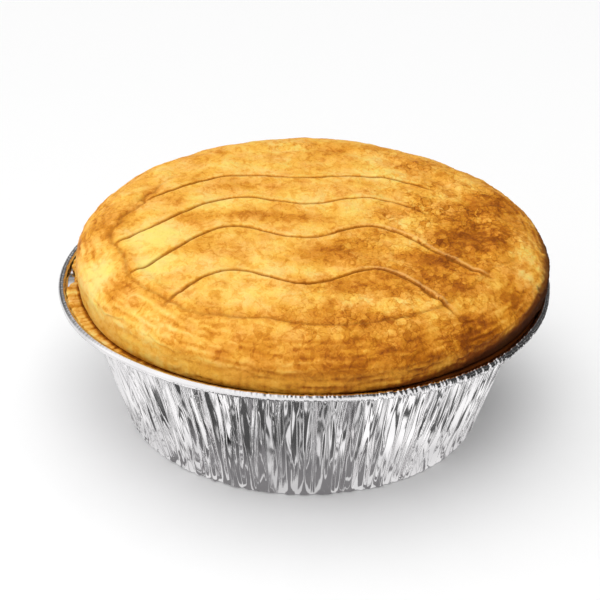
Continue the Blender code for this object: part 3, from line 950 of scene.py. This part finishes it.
def addLamps(pieces):
    for name, place, size, power, colour, pieAlone in studio["lamps"]:
        light = bpy.data.lights.new(name, "AREA")
        light.shape = "SQUARE"
        light.size = size
        light.energy = power
        light.color = colour
        holder = addObject(name, light)
        holder.matrix_world = facing(place)
        holder.visible_glossy = False
        if pieAlone:
            lit = bpy.data.collections.new(name + "Lights")
            for piece in pieces:
                lit.objects.link(piece)
            holder.light_linking.receiver_collection = lit


def addFloor():
    work = bmesh.new()
    bmesh.ops.create_grid(work, x_segments=1, y_segments=1, size=0.5 * studio["floorSize"])
    shader = Shader("paleFloor")
    setInputs(shader.surface, {"Base Color": (0.93, 0.93, 0.93, 1.0), "Roughness": 0.9, "Specular IOR Level": 0.1})
    makePiece("floor", work, shader.material)


def glossyOnly(piece):  # seen by nothing but reflections
    piece.visible_camera = piece.visible_diffuse = piece.visible_shadow = piece.visible_transmission = False


def greys(stops):
    return [(position, (level, level, level)) for position, level in stops]


def turnTone(shader, stops):  # a grey by the share of a turn
    return shader.ramp(shader.turnShare(), greys(stops))


def glowing(shader, tone):  # light of its own, and nothing reflected
    shader.feed(shader.surface.inputs["Emission Color"], tone)
    setInputs(shader.surface, {"Emission Strength": 1.0, "Base Color": (0.0, 0.0, 0.0, 1.0), "Specular IOR Level": 0.0})
    return shader.material


# a ring on the floor, dark in front of the dish and light beside it, with stripes that point at the dish
card = {
    "inner": 44.0 * mm,
    "outer": 900.0 * mm,
    "above": 0.2 * mm,
    "steps": 64,
    "stripes": (290.0, 62.0),          # how many go round, near the dish and further out
    "stripeLength": 80 * mm,
    "stripeEdge": 0.05,
    "near": (50 * mm, 57 * mm),        # the near stripes give way to the others between these radii
    "nearLoss": 0.25,                  # how much less light the near stripes have
    "nearShade": (0.23, 0.225, 0.23),
    "far": (84 * mm, 98 * mm),         # and the stripes give way to an even tone here
    # shares of a turn clockwise from the back (0.25 right, 0.5 front, 0.75 left): how bright the light and the dark
    # stripes are there, the noise level that parts them, and the even tone
    "bright": (
        (0.0, 0.7), (0.25, 1.05), (0.36, 1.10), (0.43, 1.16), (0.47, 0.98), (0.50, 0.88), (0.54, 0.95), (0.58, 1.12),
        (0.64, 1.12), (0.75, 0.9), (1.0, 0.7),
    ),
    "dark": (
        (0.0, 0.2), (0.25, 0.12), (0.36, 0.10), (0.40, 0.11), (0.45, 0.08), (0.52, 0.09), (0.555, 0.08),
        (0.575, 0.01), (0.63, 0.01), (0.66, 0.3), (0.70, 0.5), (0.80, 0.5), (1.0, 0.2),
    ),
    "parting": (
        (0.0, 0.5), (0.25, 0.52), (0.35, 0.51), (0.39, 0.63), (0.43, 0.60), (0.465, 0.50), (0.50, 0.42),
        (0.55, 0.42), (0.575, 0.45), (0.62, 0.59), (0.68, 0.58), (0.75, 0.60), (1.0, 0.5),
    ),
    "even": (
        (0.0, 0.3), (0.15, 0.1), (0.24, 0.04), (0.34, 0.06), (0.39, 0.95), (0.62, 0.95), (0.85, 0.9), (1.0, 0.3),
    ),
}


def cardStripes(shader, away, count):
    together = shader.add("ShaderNodeCombineXYZ")
    shader.feed(together.inputs["X"], shader.maths("MULTIPLY", shader.turnShare(), count))
    shader.feed(together.inputs["Y"], shader.maths("DIVIDE", away, card["stripeLength"]))
    stripes = shader.add("ShaderNodeTexNoise", noise_dimensions="2D")
    shader.feed(stripes.inputs["Vector"], together.outputs["Vector"])
    setInputs(stripes, {"Scale": 1.0, "Detail": 1.0})
    return stripes.outputs["Fac"]


def addCard():
    shader = Shader("reflectionCard")
    length = shader.add("ShaderNodeVectorMath", operation="LENGTH")
    shader.feed(length.inputs[0], shader.place)
    away = length.outputs["Value"]
    outward = shader.remap(away, *card["near"])
    pattern = shader.blend(outward, *(cardStripes(shader, away, count) for count in card["stripes"]))
    lean = shader.maths("SUBTRACT", pattern, turnTone(shader, card["parting"]))
    loss = shader.remap(away, *card["near"], card["nearLoss"], 0.0)
    light = shader.blend(loss, turnTone(shader, card["bright"]), (0.0, 0.0, 0.0))
    shade = shader.blend(outward, card["nearShade"], turnTone(shader, card["dark"]))
    tone = shader.blend(shader.remap(lean, -card["stripeEdge"], card["stripeEdge"]), light, shade)
    tone = shader.blend(shader.remap(away, *card["far"]), tone, turnTone(shader, card["even"]))
    work = spinProfile([(card["inner"], card["above"]), (card["outer"], card["above"])], card["steps"])
    glossyOnly(makePiece("reflectionCard", work, glowing(shader, tone)))


# a tent round the table, light on the left and dark on the right
tent = {
    "radius": 1.6,
    "above": 0.01,
    "bright": (
        (0.0, 0.15), (0.04, 0.08), (0.25, 0.05), (0.34, 0.08), (0.41, 0.9), (0.52, 0.9), (0.60, 1.05), (0.79, 1.1),
        (0.85, 0.3), (0.90, 0.1), (1.0, 0.15),
    ),
    "roof": ((0.0, 1.05), (0.35, 0.95), (0.65, 0.25), (1.0, 0.05)),  # from left to right
    "roofFrom": 0.4,                   # shares of the radius, in height and in width
    "roofFull": 0.75,
    "roofHalf": 0.5,
}


def addTent():
    shader = Shader("reflectionTent")
    axes, size = shader.axes(), tent["radius"]
    rise = shader.remap(axes["Z"], tent["roofFrom"] * size, tent["roofFull"] * size)
    roof = shader.ramp(shader.remap(axes["X"], -tent["roofHalf"] * size, tent["roofHalf"] * size), greys(tent["roof"]))
    tone = shader.blend(rise, turnTone(shader, tent["bright"]), roof)
    work = bmesh.new()
    bmesh.ops.create_uvsphere(work, u_segments=48, v_segments=24, radius=size)
    whole = work.verts[:] + work.edges[:] + work.faces[:]
    bmesh.ops.bisect_plane(work, geom=whole, plane_co=(0, 0, tent["above"]), plane_no=(0, 0, 1), clear_inner=True)
    bmesh.ops.reverse_faces(work, faces=work.faces)
    glossyOnly(makePiece("reflectionTent", work, glowing(shader, tone)))


addCamera()
pieces = [makeDish(), makeCrust(), makeLid()]
addWorld()
addLamps(pieces)
addFloor()
addCard()
addTent()
bpy.context.scene.view_settings.view_transform = "Standard"
